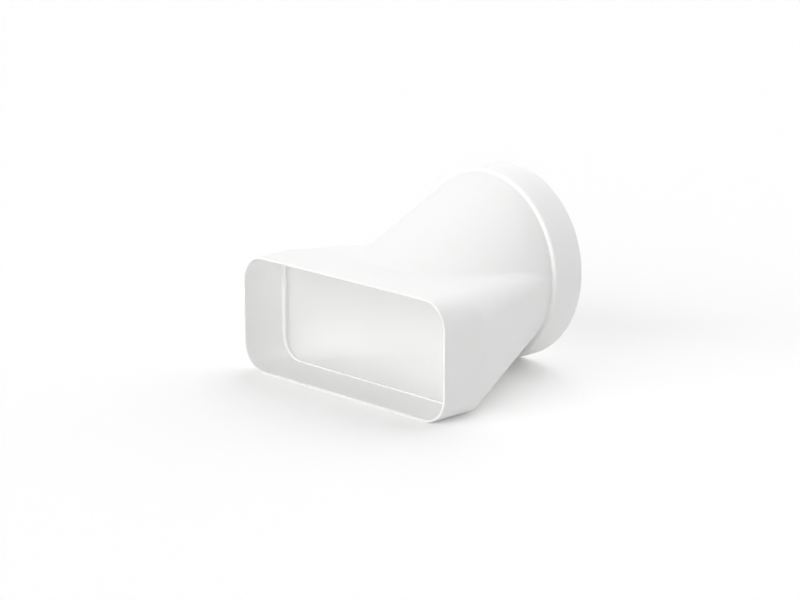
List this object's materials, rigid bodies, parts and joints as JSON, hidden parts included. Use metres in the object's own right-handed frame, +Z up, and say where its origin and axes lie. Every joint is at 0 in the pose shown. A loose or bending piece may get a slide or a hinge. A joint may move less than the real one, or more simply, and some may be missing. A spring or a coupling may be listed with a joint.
{
  "type": "duct adapter",
  "caption": "White moulded plastic duct adapter: a flat rectangular socket runs through a ridged, hooded passage into a round pipe socket, to join a flat duct to a round pipe.",
  "frame": {"origin": "on the floor under the middle of the fitting's box", "axes": "+Z up, +X across the flat mouth, +Y from the flat mouth to the round mouth"},
  "size_m": [0.227, 0.185, 0.1574],
  "materials": {
    "white_plastic": "smooth moulded, satin"
  },
  "bodies": {
    "root": {"adapter_body": "white_plastic"}
  },
  "joints": []
}
